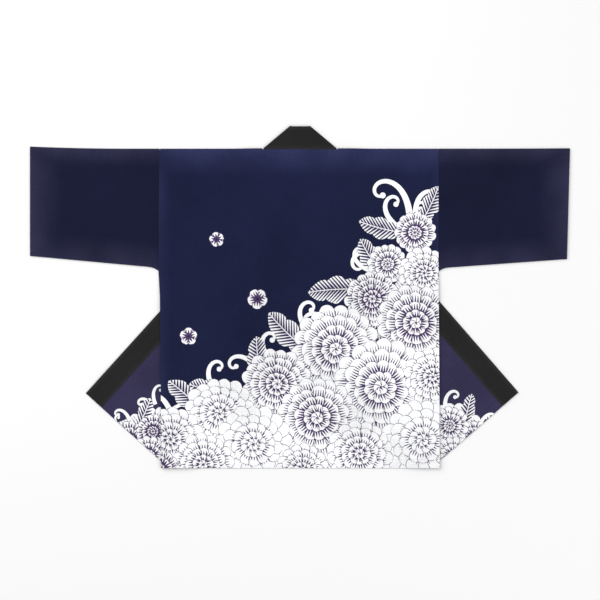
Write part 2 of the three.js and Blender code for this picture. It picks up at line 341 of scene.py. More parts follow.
def cloth_shell(name, cut, lay, thick, inks, shapes=(), print_side=1, painted_sheen_and_tone=None):
    """One closed wall of cloth with rounded edges: one face cut along its print, the other
    plain. print_side is 1 where the printed face looks up before anything is folded."""
    outline, folds, filler = cut
    points, triangles, owner = tiled(outline, folds, filler, shapes)
    pairs = {(a, b) for t in triangles.tolist() for a, b in zip(t, t[1:] + t[:1])}
    follows = {a: b for a, b in pairs if (b, a) not in pairs}
    ring = [min(follows)]
    while follows[ring[-1]] != ring[0]:
        ring.append(follows[ring[-1]])
    edge = points[ring]
    bare, bare_triangles, _ = tiled(edge.tolist(), folds, filler, ())
    bare_ring = [int(np.argmin(((bare - p) ** 2).sum(axis=1))) for p in edge]
    run = np.roll(edge, -1, axis=0) - np.roll(edge, 1, axis=0)
    inward = np.stack((-run[:, 1], run[:, 0]), axis=1) / np.linalg.norm(run, axis=1)[:, None]
    flat = np.concatenate((points, bare, edge))
    held = flat.copy()
    low, middle, count = len(points), len(points) + len(bare), len(ring)
    held[ring] += inward * 0.3 * thick
    held[[low + k for k in bare_ring]] += inward * 0.3 * thick
    offset = np.zeros((len(flat), 1))
    offset[:low], offset[low:middle] = print_side * thick / 2, -print_side * thick / 2
    faces = [t[::print_side] for t in triangles.tolist()]
    faces += [[low + k for k in t][::-print_side] for t in bare_triangles.tolist()]
    for k in range(count):
        n = (k + 1) % count
        faces.append([middle + k, middle + n, ring[n], ring[k]][::print_side])
        faces.append([low + bare_ring[k], low + bare_ring[n], middle + n, middle + k][::print_side])
    mesh = bpy.data.meshes.new(name)
    mesh.from_pydata((faced(lay, held, offset) * MM).tolist(), [], faces)
    for ink in inks:
        mesh.materials.append(ink)
    ink_of = np.array([0] + [shape["ink"] for shape in shapes])
    slots = np.zeros(len(faces), int)
    slots[: len(owner)] = ink_of[owner]
    mesh.polygons.foreach_set("material_index", slots)
    mesh.polygons.foreach_set("use_smooth", np.ones(len(faces), bool))
    corner = np.zeros(len(mesh.loops), int)
    mesh.loops.foreach_get("vertex_index", corner)
    mesh.uv_layers.new(name="grain").data.foreach_set("uv", (flat[corner] * MM).ravel())
    stroke = np.tile((0.0, 99.0, 1.0), (len(corner), 1))
    owners = np.repeat(owner, 3)
    order = np.argsort(owners, kind="stable")
    for part in np.split(order, np.flatnonzero(np.diff(owners[order])) + 1):
        if owners[part[0]]:
            p = flat[corner[part]]
            local = shapes[owners[part[0]] - 1]["local"]
            stroke[part] = np.stack(np.broadcast_arrays(p[:, 0], *local(*p.T))[1:], axis=1)
    mesh.attributes.new("stroke", "FLOAT_VECTOR", "CORNER").data.foreach_set("vector", stroke.ravel())
    # Painted sheen and random tone: how far each point is mixed toward the paler colour.
    sheen_and_tone_mix = np.zeros(len(flat)) if painted_sheen_and_tone is None else clamp(painted_sheen_and_tone(flat))
    mesh.attributes.new("painted_sheen_and_tone", "FLOAT", "POINT").data.foreach_set("value", sheen_and_tone_mix)
    turn = np.full(len(flat), -9)
    turn[ring] = turn[[low + k for k in bare_ring]] = np.arange(count)
    ends = np.zeros(2 * len(mesh.edges), int)
    mesh.edges.foreach_get("vertices", ends)
    ends = ends.reshape(-1, 2)
    steps = np.abs(turn[ends[:, 0]] - turn[ends[:, 1]])
    rim = (turn[ends].min(axis=1) >= 0) & np.isin(steps, (1, count - 1))
    mesh.attributes.new("sharp_edge", "BOOLEAN", "EDGE").data.foreach_set("value", rim)
    piece = bpy.data.objects.new(name, mesh)
    bpy.context.collection.objects.link(piece)
    return piece


# The dyer's cotton: plain weave, about 20 threads a centimetre, reactive dyed navy. The
# threads are drawn 1.5 mm apart, coarser than they are, so that the weave shows at all;
# slubs run 30 to 60 mm along both grains; the dye is a little uneven, and a paler colour
# is mixed in along folds and edges as painted sheen.
THREAD_PITCH = 1.5


def cotton(name, dye, sheen_and_tone_mix, rough=0.86, print_ink=None):
    """Woven cotton of one dye, mixed toward a paler colour for painted sheen and for random tone. print_ink
    gives the colour of a printed shape on it instead.
    """
    finish = bpy.data.materials.new(name)
    finish.use_nodes = True
    tree = finish.node_tree
    shader = tree.nodes["Principled BSDF"]
    grain = add_node(tree, "ShaderNodeUVMap", {"uv_map": "grain"}).outputs["UV"]
    tone = None
    for scale, low in (((28, 620, 1), 0.90), ((620, 28, 1), 0.92), ((5, 5, 1), 0.86)):
        spread = add_node(tree, "ShaderNodeVectorMath", {"operation": "MULTIPLY"}, {0: grain, 1: scale})
        slub = add_node(
            tree, "ShaderNodeTexNoise", None, {"Vector": spread.outputs[0], "Scale": 1.0, "Detail": 3.0}
        )
        part = add_node(
            tree,
            "ShaderNodeMapRange",
            None,
            {
                "Value": slub.outputs["Fac"],
                "From Min": 0.3,
                "From Max": 0.7,
                "To Min": low,
                "To Max": 2 - low,
            },
        )
        if tone is None:
            tone = part.outputs[0]
        else:
            both = {0: tone, 1: part.outputs[0]}
            tone = add_node(tree, "ShaderNodeMath", {"operation": "MULTIPLY"}, both).outputs[0]
    # Painted sheen: mixed toward the paler colour along folds and edges, and at random as tone.
    sheen_and_tone_amount = add_node(tree, "ShaderNodeAttribute", {"attribute_name": "painted_sheen_and_tone"}).outputs["Fac"]
    dyed = add_node(
        tree,
        "ShaderNodeMix",
        {"data_type": "RGBA"},
        {"Factor": sheen_and_tone_amount, "A": linear(dye), "B": linear(sheen_and_tone_mix)},
    ).outputs["Result"]
    if print_ink:
        stroke = add_node(tree, "ShaderNodeAttribute", {"attribute_name": "stroke"}).outputs["Vector"]
        dyed = print_ink(tree, stroke, grain)
    shade = add_node(tree, "ShaderNodeVectorMath", {"operation": "SCALE"}, {0: dyed, "Scale": tone})
    tree.links.new(shade.outputs[0], shader.inputs["Base Color"])
    per_metre = 2 * math.pi / (THREAD_PITCH * MM)
    threads = add_node(tree, "ShaderNodeVectorMath", {"operation": "SCALE"}, {0: grain, "Scale": per_metre})
    split = add_node(tree, "ShaderNodeSeparateXYZ", None, {0: threads.outputs[0]})
    warp = add_node(tree, "ShaderNodeMath", {"operation": "SINE"}, {0: split.outputs[0]})
    weft = add_node(tree, "ShaderNodeMath", {"operation": "SINE"}, {0: split.outputs[1]})
    crossing = {0: warp.outputs[0], 1: weft.outputs[0]}
    weave = add_node(tree, "ShaderNodeMath", {"operation": "MULTIPLY"}, crossing)
    bump = add_node(
        tree,
        "ShaderNodeBump",
        None,
        {"Height": weave.outputs[0], "Strength": 0.25, "Distance": 0.0003},
    )
    tree.links.new(bump.outputs[0], shader.inputs["Normal"])
    shader.inputs["Roughness"].default_value = rough
    shader.inputs["Specular IOR Level"].default_value = 0.07
    shader.inputs["Sheen Weight"].default_value = 0.04
    shader.inputs["Sheen Roughness"].default_value = 0.45
    return finish


# The print: white left by the resist, with fine purple lines. Their pitches are coarser than
# such a stencil is cut, so that single lines show.
PAPER_WHITE = "#fbfcfd"
LINE_PURPLE = "#4d3a63"
LEAF_PURPLE = "#3a3157"
PETAL_LINES = 6.0
LEAF_LINES = 8.6


def engraved(tree, turn, limit, low, high):
    """Lines where a wave rises above a limit, each with a slightly soft edge."""
    wave = add_node(tree, "ShaderNodeMath", {"operation": "COSINE"}, {0: turn.outputs[0]})
    over = add_node(
        tree, "ShaderNodeMath", {"operation": "SUBTRACT"}, {0: wave.outputs[0], 1: limit.outputs[0]}
    )
    return add_node(
        tree,
        "ShaderNodeMapRange",
        {"interpolation_type": "SMOOTHSTEP"},
        {"Value": over.outputs[0], "From Min": low, "From Max": high},
    )


def printed(tree, dark, line_colour):
    """White where dark is 0, the colour of the lines where it is 1."""
    return add_node(
        tree,
        "ShaderNodeMix",
        {"data_type": "RGBA"},
        {"Factor": dark.outputs[0], "A": linear(PAPER_WHITE), "B": linear(line_colour)},
    ).outputs["Result"]


def petal_ink(tree, stroke, grain):
    """White petals with fine engraved lines that start at the root and run out unevenly."""
    split = add_node(tree, "ShaderNodeSeparateXYZ", None, {0: stroke})
    aside, half, up = split.outputs[0], split.outputs[1], split.outputs[2]
    wobble = add_node(tree, "ShaderNodeTexNoise", None, {"Vector": grain, "Scale": 45.0, "Detail": 2.0})
    phase = add_node(
        tree, "ShaderNodeMath", {"operation": "MULTIPLY_ADD"}, {0: wobble.outputs["Fac"], 1: 3.0, 2: -1.5}
    )
    turn = add_node(
        tree,
        "ShaderNodeMath",
        {"operation": "MULTIPLY_ADD"},
        {0: aside, 1: 2 * math.pi / PETAL_LINES, 2: phase.outputs[0]},
    )
    length = add_node(tree, "ShaderNodeTexNoise", None, {"Vector": grain, "Scale": 130.0, "Detail": 1.0})
    fade = add_node(tree, "ShaderNodeMath", {"operation": "MULTIPLY_ADD"}, {0: up, 1: 4.4, 2: -2.75})
    limit = add_node(
        tree, "ShaderNodeMath", {"operation": "ADD"}, {0: fade.outputs[0], 1: length.outputs["Fac"]}
    )
    lines = engraved(tree, turn, limit, -0.15, 0.35)
    spread = add_node(tree, "ShaderNodeMath", {"operation": "ABSOLUTE"}, {0: aside})
    rim = add_node(tree, "ShaderNodeMath", {"operation": "SUBTRACT"}, {0: half, 1: spread.outputs[0]})
    edge = add_node(
        tree,
        "ShaderNodeMapRange",
        {"interpolation_type": "SMOOTHSTEP"},
        {"Value": rim.outputs[0], "From Min": 1.9, "From Max": 0.7},
    )
    dark = add_node(
        tree, "ShaderNodeMath", {"operation": "MAXIMUM"}, {0: lines.outputs[0], 1: edge.outputs[0]}
    )
    return printed(tree, dark, LINE_PURPLE)


def leaf_ink(tree, stroke, grain):
    """Leaves shaded with close slanting lines from the midrib out to a clear edge."""
    split = add_node(tree, "ShaderNodeSeparateXYZ", None, {0: stroke})
    aside, half, up = split.outputs[0], split.outputs[1], split.outputs[2]
    spread = add_node(tree, "ShaderNodeMath", {"operation": "ABSOLUTE"}, {0: aside})
    slant = add_node(
        tree, "ShaderNodeMath", {"operation": "MULTIPLY_ADD"}, {0: spread.outputs[0], 1: -0.9, 2: up}
    )
    turn = add_node(
        tree, "ShaderNodeMath", {"operation": "MULTIPLY"}, {0: slant.outputs[0], 1: 2 * math.pi / LEAF_LINES}
    )
    share = add_node(tree, "ShaderNodeMath", {"operation": "DIVIDE"}, {0: spread.outputs[0], 1: half})
    patch = add_node(tree, "ShaderNodeTexNoise", None, {"Vector": grain, "Scale": 60.0, "Detail": 2.0})
    limit = add_node(
        tree, "ShaderNodeMath", {"operation": "MULTIPLY_ADD"}, {0: share.outputs[0], 1: 1.5, 2: -1.6}
    )
    limit = add_node(
        tree, "ShaderNodeMath", {"operation": "ADD"}, {0: limit.outputs[0], 1: patch.outputs["Fac"]}
    )
    lines = engraved(tree, turn, limit, -0.2, 0.4)
    rib = add_node(
        tree,
        "ShaderNodeMapRange",
        {"interpolation_type": "SMOOTHSTEP"},
        {"Value": spread.outputs[0], "From Min": 0.6, "From Max": 1.5},
    )
    dark = add_node(
        tree, "ShaderNodeMath", {"operation": "MULTIPLY"}, {0: lines.outputs[0], 1: rib.outputs[0]}
    )
    return printed(tree, dark, LEAF_PURPLE)


def plain_ink(tree, stroke, grain):
    """Bare white of the resist, for tendrils."""
    return linear(PAPER_WHITE)[:3]


PETAL, LEAF, BARE = 1, 2, 3


def inked(name, dye, sheen_and_tone_mix):
    """The dyed cotton and its three printed finishes, in the order of the inks."""
    return [cotton(name, dye, sheen_and_tone_mix)] + [
        cotton(name + way, dye, sheen_and_tone_mix, print_ink=ink)
        for way, ink in (("_petals", petal_ink), ("_leaves", leaf_ink), ("_bare", plain_ink))
    ]


# The printed heap: chrysanthemums of several rings of petals, lobed leaves, curling
# tendrils and small five-petalled blossoms, later ones over earlier ones.
def shape_of(x, y, heading, stations, width, reach, bend, ink, local):
    """An outline about a slightly bent midline that leaves (x, y) along its heading."""
    ca, sa = math.cos(heading), math.sin(heading)
    loop = []
    for v, way in stations:
        u, w = reach(v), way * float(width(v)) + bend * v * v
        loop.append((x + u * ca - w * sa, y + u * sa + w * ca))

    def here(px, py):
        u = (px - x) * ca + (py - y) * sa
        return local(u, (py - y) * ca - (px - x) * sa)

    return dict(loop=loop, local=here, ink=ink)


def petal(x, y, heading, root, tip, half, bend, pale=0.0):
    """One petal round (x, y), from its root radius to its tip radius. pale thins its lines."""
    span = tip - root

    def width(v):
        swell = 0.42 + 0.58 * np.sin(np.minimum(v, 0.66) / 0.66 * math.pi / 2)
        return half * swell * np.sqrt(1 - clamp((v - 0.66) / 0.34) ** 2.2)

    def local(u, w):
        v = (u - root) / span
        return w - bend * v * v, width(clamp(v)), v + pale

    sides = [0, 0.2, 0.4, 0.56, 0.68, 0.78, 0.87, 0.94, 0.985]
    stations = [(v, 1) for v in sides] + [(1, 0)] + [(v, -1) for v in reversed(sides)]
    return shape_of(x, y, heading, stations, width, lambda v: root + v * span, bend, PETAL, local)


def chrysanthemum(x, y, radius, petals, turn):
    """Rings of petals, the outer ring underneath, and a small floret in the middle."""
    chance = random.Random(round(x * 7 + y * 3 + radius))
    shapes = []
    rings = 4 if radius > 50 else 3
    pale = chance.uniform(-0.12, 0.16)
    for ring in range(rings):
        tip = radius * (1 - 0.66 * ring / (rings - 1))
        count = round(petals * (1 - 0.14 * ring))
        root = tip * (0.12 if ring == rings - 1 else 0.4)
        for k in range(count):
            heading = turn + (k + 0.5 * (ring % 2)) * 2 * math.pi / count + chance.uniform(-0.03, 0.03)
            reach = tip * chance.uniform(0.95, 1.03)
            half = reach * math.sin(math.pi / count) * 1.08
            bend = chance.uniform(-0.05, 0.05) * tip
            shapes.append(petal(x, y, heading, root, reach, half, bend, pale))
    eye = radius * 0.15
    return shapes + [petal(x, y, turn + k * math.pi / 3, 0, eye, eye * 0.56, 0, 0.25) for k in range(6)]


def blossom(x, y, radius, turn):
    """A small five-petalled blossom."""
    return [petal(x, y, turn + k * 2 * math.pi / 5, radius * 0.1, radius, radius * 0.5, 0) for k in range(5)]


def leaf(x, y, heading, long, wide, bend):
    """A lobed leaf from its stalk at (x, y)."""

    def width(v):
        lobes = 0.74 + 0.26 * np.abs(np.sin(3 * math.pi * v)) ** 0.7
        return wide * np.sin(math.pi * clamp(v)) ** 0.6 * lobes

    def local(u, w):
        return w - bend * (u / long) ** 2, np.maximum(width(u / long), 0.5), u

    sides = [k / 24 for k in range(1, 24)]
    stations = [(0, 0)] + [(v, 1) for v in sides] + [(1, 0)] + [(v, -1) for v in reversed(sides)]
    return [shape_of(x, y, heading, stations, width, lambda v: v * long, bend, LEAF, local)]


def tendril(x, y, heading, long, wide, curl):
    """A tapering tendril that winds into a curl and ends in a round drop."""
    count = 44
    one, other = [], []
    for k in range(count + 1):
        f = k / count
        nx, ny = -math.sin(heading), math.cos(heading)
        half = wide / 2 * (1 - 0.62 * f)
        one.append((x + nx * half, y + ny * half))
        other.append((x - nx * half, y - ny * half))
        step = long / count * (1 - 0.45 * f)
        x, y = x + step * math.cos(heading), y + step * math.sin(heading)
        heading += curl * (0.03 + 0.30 * f**2.2)
    drop = wide * 0.42
    loops = [one + other[::-1]]
    turns = [k * math.pi / 5 for k in range(10)]
    loops.append([(x + drop * math.cos(a), y + drop * math.sin(a)) for a in turns])
    return [dict(loop=loop, local=lambda px, py: (0.0, 99.0, 1.0), ink=BARE) for loop in loops]


def bed(loop):
    """Close shading that fills the gaps deep in the heap."""
    return [dict(loop=loop, local=lambda px, py: (0.8 * px + 0.6 * py, 9999.0, 0.66), ink=PETAL)]


# In these tables d is down from the shoulder, and headings are degrees from +X toward the
# collar.
BACK_BED = [(-345, -770), (-345, -690), (-240, -640), (-110, -580), (0, -520), (80, -450),
            (170, -370), (240, -300), (345, -300), (345, -770)]
BACK_TENDRILS = [
    dict(x=276, d=182, heading=104, long=176, wide=15, curl=-1),
    dict(x=258, d=190, heading=86, long=262, wide=17, curl=1),
    dict(x=250, d=196, heading=152, long=180, wide=15, curl=-1),
    dict(x=222, d=262, heading=146, long=196, wide=15, curl=1),
    dict(x=300, d=180, heading=70, long=112, wide=11, curl=1),
    dict(x=180, d=288, heading=170, long=140, wide=13, curl=-1),
    dict(x=150, d=340, heading=150, long=150, wide=13, curl=1),
    dict(x=80, d=430, heading=116, long=150, wide=14, curl=1),
    dict(x=50, d=450, heading=150, long=190, wide=15, curl=-1),
    dict(x=-50, d=510, heading=146, long=160, wide=15, curl=-1),
    dict(x=-90, d=540, heading=112, long=170, wide=14, curl=1),
    dict(x=-190, d=580, heading=132, long=160, wide=14, curl=-1),
    dict(x=-236, d=620, heading=92, long=150, wide=13, curl=1),
    dict(x=-300, d=640, heading=98, long=160, wide=14, curl=1),
    dict(x=-318, d=640, heading=66, long=130, wide=11, curl=-1),
]
BACK_LEAVES = [
    dict(x=286, d=170, heading=58, long=92, wide=23, bend=10),
    dict(x=240, d=196, heading=172, long=104, wide=26, bend=-12),
    dict(x=150, d=330, heading=176, long=130, wide=32, bend=16),
    dict(x=190, d=290, heading=128, long=92, wide=26, bend=-10),
    dict(x=20, d=476, heading=142, long=130, wide=31, bend=-14),
    dict(x=-90, d=540, heading=104, long=100, wide=27, bend=-12),
    dict(x=-225, d=620, heading=132, long=112, wide=29, bend=12),
    dict(x=-160, d=580, heading=170, long=104, wide=28, bend=-10),
    dict(x=270, d=430, heading=-15, long=110, wide=34, bend=-10),
    dict(x=180, d=400, heading=-80, long=120, wide=34, bend=-10),
    dict(x=20, d=560, heading=-60, long=140, wide=38, bend=-16),
    dict(x=-150, d=640, heading=-100, long=120, wide=36, bend=14),
    dict(x=200, d=600, heading=-80, long=150, wide=40, bend=-18),
    dict(x=-290, d=660, heading=-60, long=120, wide=34, bend=-10),
    dict(x=100, d=690, heading=-160, long=140, wide=36, bend=10),
    dict(x=310, d=620, heading=-120, long=140, wide=38, bend=-10),
]
BACK_BLOOMS = [
    dict(x=270, d=196, radius=50, petals=15, turn=0.2),
    dict(x=206, d=270, radius=48, petals=15, turn=0.5),
    dict(x=292, d=292, radius=64, petals=16, turn=0.3),
    dict(x=170, d=352, radius=66, petals=16, turn=0.1),
    dict(x=272, d=408, radius=92, petals=17, turn=0.1),
    dict(x=84, d=470, radius=104, petals=18, turn=0.4),
    dict(x=-54, d=552, radius=84, petals=17, turn=0.0),
    dict(x=-190, d=622, radius=86, petals=17, turn=0.3),
    dict(x=-304, d=682, radius=78, petals=16, turn=0.7),
    dict(x=190, d=560, radius=116, petals=19, turn=0.2),
    dict(x=312, d=536, radius=70, petals=16, turn=0.6),
    dict(x=40, d=632, radius=98, petals=18, turn=0.5),
    dict(x=-110, d=694, radius=92, petals=17, turn=0.1),
    dict(x=288, d=684, radius=98, petals=18, turn=0.4),
    dict(x=140, d=716, radius=80, petals=16, turn=0.2),
    dict(x=-228, d=742, radius=74, petals=16, turn=0.5),
    dict(x=-332, d=754, radius=50, petals=15, turn=0.1),
    dict(x=6, d=756, radius=64, petals=16, turn=0.3),
]
BACK_BLOSSOMS = [
    dict(x=-262, d=440, radius=21, turn=0.3),
    dict(x=-100, d=352, radius=24, turn=0.9),
    dict(x=-196, d=212, radius=18, turn=0.5),
]


def heap(tendrils=(), leaves=(), blooms=(), blossoms=()):
    """Every shape of a print, from the bottom one up."""
    shapes = []
    for row in tendrils:
        heading = math.radians(row["heading"])
        shapes += tendril(row["x"], -row["d"], heading, row["long"], row["wide"], row["curl"])
    for row in leaves:
        heading = math.radians(row["heading"])
        shapes += leaf(row["x"], -row["d"], heading, row["long"], row["wide"], row["bend"])
    for row in blooms:
        shapes += chrysanthemum(row["x"], -row["d"], row["radius"], row["petals"], row["turn"])
    for row in blossoms:
        shapes += blossom(row["x"], -row["d"], row["radius"], row["turn"])
    return shapes


carried = ARC + WRAP
back_outline = [(-WRAP_START, carried), (-WRAP_START, 0), (WRAP_START, 0), (WRAP_START, carried)]
back_outline += [(WIDTHS[0]["right"], carried)] + [(row["right"], -row["depth"]) for row in WIDTHS]
back_outline += [(-row["left"], -row["depth"]) for row in WIDTHS[::-1]] + [(-WIDTHS[0]["left"], carried)]
back_folds = [
    dense([(way * (WRAP_START + 0.4), ARC * k / 8), (way * 325.5, ARC * k / 8)], 16, closed=False)
    for k in range(9)
    for way in (-1, 1)
]
back_cut = (dense(back_outline, 9), back_folds, filling(back_outline, back_folds, 9))


def back_painted_sheen(p):
    """Painted sheen: paler along the shoulder fold and, a little, down the side seams, unevenly."""
    fold = 0.8 * (1 - np.abs(p[:, 1]) / 62)
    side = 0.35 * (1 - (330 - np.abs(p[:, 0])) / 26)
    return np.maximum(0, np.maximum(fold, side)) * (1 + 0.5 * uneven(p[:, 0], p[:, 1], 60, 9))


back = cloth_shell(
    "back_panel",
    back_cut,
    lay_back,
    CLOTH,
    # 31355a is the paler painted sheen along the shoulder fold and side seams.
    inked("dyed_cotton_back", "#191e3c", "#31355a"),
    bed(BACK_BED) + heap(BACK_TENDRILS, BACK_LEAVES, BACK_BLOOMS, BACK_BLOSSOMS),
    painted_sheen_and_tone=back_painted_sheen,
)
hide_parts("back")
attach(back, "root")

# ---- Fronts ----
# Two panels of the same cotton, cut away at the neck. Each lies printed side down and its
# inner corner is turned back underneath on a slant, so that the print shows past the side.


def from_fold(side, s, t):
    a = math.radians(SIDES[side]["tilt"])
    out = SIDES[side]["fold"] - s * math.cos(a) + t * math.sin(a)
    return out, s * math.sin(a) + t * math.cos(a)


def fold_depth(side, out, s):
    """Depth where the line a distance s past the fold meets the upright line at out."""
    a = math.radians(SIDES[side]["tilt"])
    return (s + (out - SIDES[side]["fold"]) * math.cos(a)) / math.sin(a)


def band_seam(side, depth):
    """The sewn line of the band: out from the neck, then straight down."""
    seam = SIDES[side]["edge"] + BAND_WIDTH
    return mix(NECK, seam, clamp(depth / fold_depth(side, seam, 0)))


def turned(side, out, depth, level):
    """Where a point of the cut front lies once its corner is turned back underneath. Past
    the side seam the turned cloth waves a little off the table."""
    s, t = across_fold(side, out, depth)
    a = np.clip(s, 0, ARC) / FOLD_RADIUS
    q_out, q_depth = from_fold(side, FOLD_RADIUS * np.sin(a) - np.maximum(0, s - ARC), t)
    flat = s <= 0
    free = clamp((q_out - body_half(side, q_depth) - 8) / 30) * (s > ARC)
    wave = free * (0.5 + 0.8 * uneven(q_out, q_depth, 60, SIDES[side]["fold"]))
    x = SIDES[side]["sign"] * np.where(flat, out, q_out)
    z = np.where(flat, front_lift(side, out, depth), FOLD_RADIUS * (1 + np.cos(a)) + np.maximum(0, wave))
    return np.stack((x, MID_Y - np.where(flat, depth, q_depth), level + z), axis=1)


def unfolded(side, shape):
    """Moves a shape from the turned-back corner, as it lies, to the cut front."""
    sign = SIDES[side]["sign"]

    def across(x, y):
        s, t = across_fold(side, sign * x, -y)
        out, depth = from_fold(side, ARC - s, t)
        return sign * out, -depth

    return dict(
        loop=[across(*p) for p in shape["loop"]],
        local=lambda x, y: shape["local"](*across(x, y)),
        ink=shape["ink"],
    )


FLAPS = {
    "left": dict(
        cut=(0.246, 0.738),
        area=0.172,
        bed=[(-300, -770), (-300, -640), (-392, -628), (-450, -652), (-520, -690), (-400, -770)],
        tendrils=[
            dict(x=-352, d=640, heading=76, long=112, wide=11, curl=1),
            dict(x=-340, d=600, heading=112, long=90, wide=9, curl=-1),
            dict(x=-400, d=640, heading=108, long=80, wide=9, curl=1),
            dict(x=-424, d=652, heading=140, long=52, wide=7, curl=-1),
        ],
        leaves=[dict(x=-380, d=650, heading=60, long=70, wide=18, bend=8)],
        blooms=[
            dict(x=-402, d=684, radius=46, petals=16, turn=0.2),
            dict(x=-346, d=664, radius=40, petals=15, turn=0.5),
            dict(x=-356, d=722, radius=48, petals=16, turn=0.1),
        ],
        hidden=[
            dict(x=-262, d=540, radius=72, petals=18, turn=0.2),
            dict(x=-296, d=650, radius=84, petals=19, turn=0.6),
            dict(x=-236, d=724, radius=76, petals=18, turn=0.1),
        ],
    ),
    "right": dict(
        cut=(0.241, 0.731),
        area=0.163,
        bed=[(300, -770), (300, -610), (372, -618), (440, -648), (520, -690), (400, -770)],
        tendrils=[
            dict(x=344, d=622, heading=104, long=112, wide=11, curl=-1),
            dict(x=424, d=646, heading=66, long=78, wide=9, curl=-1),
            dict(x=436, d=654, heading=44, long=56, wide=7, curl=1),
        ],
        leaves=[dict(x=388, d=648, heading=82, long=74, wide=17, bend=-6)],
        blooms=[
            dict(x=410, d=680, radius=44, petals=16, turn=0.4),
            dict(x=352, d=650, radius=46, petals=16, turn=0.1),
            dict(x=360, d=724, radius=50, petals=17, turn=0.3),
        ],
        hidden=[
            dict(x=268, d=520, radius=70, petals=18, turn=0.3),
            dict(x=292, d=640, radius=86, petals=19, turn=0.0),
            dict(x=240, d=716, radius=78, petals=18, turn=0.5),
        ],
    ),
}
# cut and area are the flat size in metres. bed, tendrils, leaves and blooms are the print on
# the corner that shows, where it lies once turned back; hidden blooms stay under the back.
front_lay = {}
front_inks = inked("dyed_cotton_front", "#332f4b", "#3b3858")
for side, flap in FLAPS.items():
    row = SIDES[side]
    seam = row["edge"] + BAND_WIDTH + JOIN
    fold = fold_depth(side, seam, 0)
    top = WRAP + SEAM
    flat = [(float(band_seam(side, top)) + JOIN, top), (float(body_half(side, top)), top)]
    flat += [(w[side], w["depth"]) for w in WIDTHS[1:-1]]
    flat += [(float(body_half(side, row["length"])), row["length"]), (seam, row["length"])]
    flat += [(seam, fold + 26), (seam + 3, fold + 8), (seam + 3, fold - 6)]
    flat += [(float(band_seam(side, fold - 26)) + JOIN, fold - 26)]
    outline = [(row["sign"] * out, -depth) for out, depth in flat]
    if side == "left":
        outline.reverse()
    folds = []
    for k in range(9):
        across = ARC * k / 8
        ends = []
        for out, way in ((seam + 3.4, 1), (0, -1)):
            depth = fold_depth(side, out, across) if way > 0 else row["length"] - 0.4
            if way < 0:
                a = math.radians(row["tilt"])
                out = row["fold"] + (depth * math.sin(a) - across) / math.cos(a)
            ends.append((row["sign"] * out, -depth))
        folds.append(dense(ends, 14, closed=False))

    def lay_front(p, side=side, sign=row["sign"]):
        return turned(side, sign * p[:, 0], -p[:, 1], CLOTH / 2)

    front_lay[side] = lay_front
    shown = bed(flap["bed"]) + heap(flap["tendrils"], flap["leaves"], flap["blooms"])
    shapes = heap(blooms=flap["hidden"]) + [unfolded(side, shape) for shape in shown]
    front = cloth_shell(
        f"front_panel_{side}",
        (dense(outline, 10), folds, filling(outline, folds, 10)),
        lay_front,
        CLOTH,
        front_inks,
        shapes,
        print_side=-1,
        painted_sheen_and_tone=lambda p: 0.3 + 0.5 * uneven(p[:, 0], p[:, 1], 80, 5),
    )
    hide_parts(f"front_{side}")
    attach(front, "root")

# ---- Sleeves ----
# Each is one width folded along the top and seamed below, open at the cuff, and set to the
# body straight. The cuff is hemmed 22 mm deep. Both layers lie flat, the upper a little wavy.
HALF_SPAN = 635
SLEEVES = {
    "left": dict(cuff=251, slope=0.092, lean=0, rise=5, flat=(0.304, 0.562), area=0.162),
    "right": dict(cuff=258, slope=0.071, lean=7, rise=1, flat=(0.309, 0.564), area=0.165),
}
SLEEVE_CREASES = {
    "left": [
        dict(x0=350, d0=250, x1=470, d1=150, wide=16, high=1.0),
        dict(x0=345, d0=200, x1=430, d1=96, wide=20, high=0.9),
        dict(x0=470, d0=232, x1=600, d1=206, wide=14, high=0.8),
        dict(x0=520, d0=30, x1=618, d1=74, wide=18, high=0.7),
        dict(x0=380, d0=40, x1=500, d1=52, wide=22, high=0.6),
    ],
    "right": [
        dict(x0=345, d0=252, x1=452, d1=168, wide=18, high=1.1),
        dict(x0=350, d0=186, x1=416, d1=70, wide=17, high=0.8),
        dict(x0=486, d0=226, x1=612, d1=190, wide=16, high=0.7),
        dict(x0=440, d0=48, x1=590, d1=36, wide=20, high=0.7),
        dict(x0=560, d0=90, x1=622, d1=160, wide=14, high=0.6),
    ],
}
SLEEVE_RADIUS = (CLOTH + SLACK) / 2
SLEEVE_ARC = math.pi * SLEEVE_RADIUS


def sleeve_depth(side, out):
    row = SLEEVES[side]
    gusset = 7 * clamp((22 - (out - body_half(side, 284))) / 22) ** 2
    return row["cuff"] + row["slope"] * (HALF_SPAN - out) + gusset


